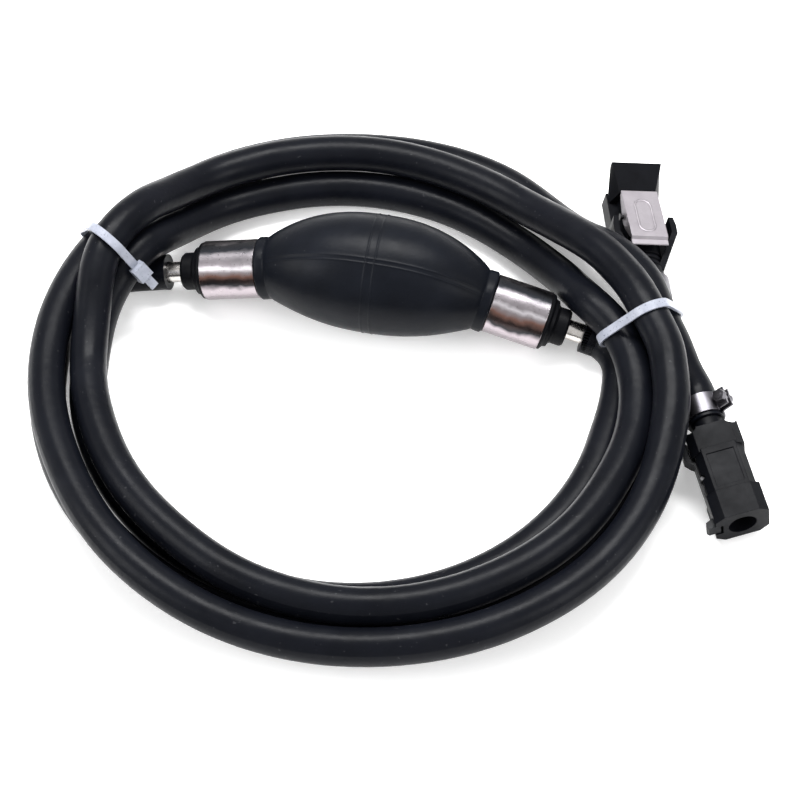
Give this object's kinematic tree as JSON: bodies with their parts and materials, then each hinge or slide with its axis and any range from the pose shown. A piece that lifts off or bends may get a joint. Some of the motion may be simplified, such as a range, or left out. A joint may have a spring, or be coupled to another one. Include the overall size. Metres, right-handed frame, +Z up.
{
  "type": "outboard fuel line with hand primer bulb",
  "caption": "Coiled black fuel hose with a squeeze primer bulb between crimped sleeves and a click-in quick connector at each end, tied for storage.",
  "frame": {"origin": "on the floor, under the middle of the whole coil's bounding box", "axes": "+Z up from the floor the coil lies on; +X along the coil's longest side, from the bulb's inlet side to the connectors; +Y away from the engine connector, towards the tank connector's mouth"},
  "size_m": [0.3114, 0.2857, 0.0522],
  "materials": {
    "hose_rubber": "satin extruded fuel hose",
    "bulb_rubber": "moulded satin rubber with a mould line",
    "sleeve_steel": "polished, slightly wavy from crimping",
    "bush_plastic": "moulded",
    "bright_metal": "turned and plated",
    "seal_rubber": "matt",
    "spring_steel": "drawn wire",
    "valve_plastic": "moulded natural acetal",
    "clamp_steel": "zinc-plated",
    "connector_plastic": "moulded, lightly scuffed",
    "lever_steel": "satin stamped sheet",
    "latch_plastic": "moulded",
    "pin_steel": "ground",
    "tie_nylon": "translucent natural nylon"
  },
  "bodies": {
    "line": {"engine_hose": "hose_rubber", "tank_hose": "hose_rubber", "bulb": "bulb_rubber", "inlet_sleeve": "sleeve_steel", "outlet_sleeve": "sleeve_steel", "inlet_bush": "bush_plastic", "outlet_bush": "bush_plastic", "inlet_valve_body": "bright_metal", "outlet_valve_body": "bright_metal", "inlet_valve_seal": "seal_rubber", "outlet_valve_seal": "seal_rubber", "inlet_valve_spring": "spring_steel", "outlet_valve_spring": "spring_steel", "outlet_valve_seat": "valve_plastic", "inlet_valve_cage": "valve_plastic", "tank_clamp": "clamp_steel", "engine_clamp": "clamp_steel", "clamp_screws": "clamp_steel", "clamp_nuts": "clamp_steel", "tank_connector_body": "connector_plastic", "tank_hose_barb": "bright_metal", "tank_poppet_spring": "spring_steel", "tank_o_ring": "seal_rubber", "tank_lever_pin": "pin_steel", "tank_lever_spring": "spring_steel", "engine_connector_body": "connector_plastic", "engine_hose_barb": "bright_metal", "engine_poppet_spring": "spring_steel", "engine_o_ring": "seal_rubber", "engine_latch_pin": "pin_steel", "engine_latch_spring": "spring_steel", "tie_left": "tie_nylon", "tie_right": "tie_nylon"},
    "inlet_check": {"inlet_poppet": "valve_plastic"},
    "outlet_check": {"outlet_poppet": "valve_plastic"},
    "lever": {"tank_lever": "lever_steel"},
    "tank_shutoff": {"tank_poppet": "valve_plastic"},
    "latch": {"engine_latch": "latch_plastic"},
    "engine_shutoff": {"engine_poppet": "valve_plastic"}
  },
  "joints": [
    {"name": "inlet_check_valve", "type": "slide", "parent": "line", "child": "inlet_check", "axis": [0.9688, -0.122, 0.2159], "range_m": [0, 0.0025], "deforming": ["inlet_valve_spring"]},
    {"name": "outlet_check_valve", "type": "slide", "parent": "line", "child": "outlet_check", "axis": [0.946, -0.2416, -0.216], "range_m": [0, 0.0025], "deforming": ["outlet_valve_spring"]},
    {"name": "lever_hinge", "type": "hinge", "parent": "line", "child": "lever", "pos_m": [0.11005, 0.08804, 0.017], "axis": [0.9794, 0.1034, -0.1736], "range_deg": [0, 8], "deforming": ["tank_lever_spring"]},
    {"name": "tank_shutoff_slide", "type": "slide", "parent": "line", "child": "tank_shutoff", "axis": [0.105, -0.9945, 0], "range_m": [0, 0.0025], "deforming": ["tank_poppet_spring"]},
    {"name": "latch_hinge", "type": "hinge", "parent": "line", "child": "latch", "pos_m": [0.12879, -0.05244, 0.01354], "axis": [0.1197, 0.0962, -0.9881], "range_deg": [0, 6], "deforming": ["engine_latch_spring"]},
    {"name": "engine_shutoff_slide", "type": "slide", "parent": "line", "child": "engine_shutoff", "axis": [-0.2382, 0.969, 0.0655], "range_m": [0, 0.0025], "deforming": ["engine_poppet_spring"]}
  ]
}
